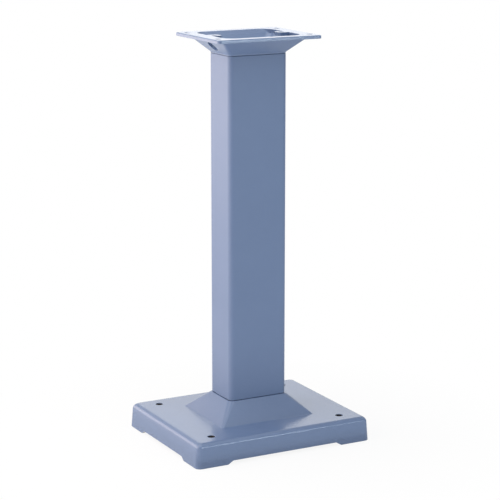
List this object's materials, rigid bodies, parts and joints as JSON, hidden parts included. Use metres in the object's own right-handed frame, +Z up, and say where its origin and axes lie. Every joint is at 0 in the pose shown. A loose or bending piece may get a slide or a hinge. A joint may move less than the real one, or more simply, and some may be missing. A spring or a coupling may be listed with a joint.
{
  "type": "bench grinder stand",
  "caption": "Floor pedestal for a bench grinder: hollow cast base on corner feet, rectangular steel column and a flared open-topped mounting head with a cord hole.",
  "frame": {"origin": "on the floor, under the middle of the base", "axes": "+Z up along the column, +X to the right across the long front side, +Y from the front to the back"},
  "size_m": [0.396, 0.322, 0.83],
  "materials": {
    "cast_paint": "semi-gloss blue-grey enamel on cast iron",
    "tube_paint": "semi-gloss blue-grey enamel on steel tube",
    "zinc_steel": "bright zinc plate"
  },
  "bodies": {
    "root": {"base_casting": "cast_paint", "column_tube": "tube_paint", "head_casting": "cast_paint", "tie_rod_front_left": "zinc_steel", "head_washer_front_left": "zinc_steel", "head_lock_washer_front_left": "zinc_steel", "head_nut_front_left": "zinc_steel", "base_washer_front_left": "zinc_steel", "base_lock_washer_front_left": "zinc_steel", "base_nut_front_left": "zinc_steel", "tie_rod_front_right": "zinc_steel", "head_washer_front_right": "zinc_steel", "head_lock_washer_front_right": "zinc_steel", "head_nut_front_right": "zinc_steel", "base_washer_front_right": "zinc_steel", "base_lock_washer_front_right": "zinc_steel", "base_nut_front_right": "zinc_steel", "tie_rod_back_left": "zinc_steel", "head_washer_back_left": "zinc_steel", "head_lock_washer_back_left": "zinc_steel", "head_nut_back_left": "zinc_steel", "base_washer_back_left": "zinc_steel", "base_lock_washer_back_left": "zinc_steel", "base_nut_back_left": "zinc_steel", "tie_rod_back_right": "zinc_steel", "head_washer_back_right": "zinc_steel", "head_lock_washer_back_right": "zinc_steel", "head_nut_back_right": "zinc_steel", "base_washer_back_right": "zinc_steel", "base_lock_washer_back_right": "zinc_steel", "base_nut_back_right": "zinc_steel"}
  },
  "joints": []
}
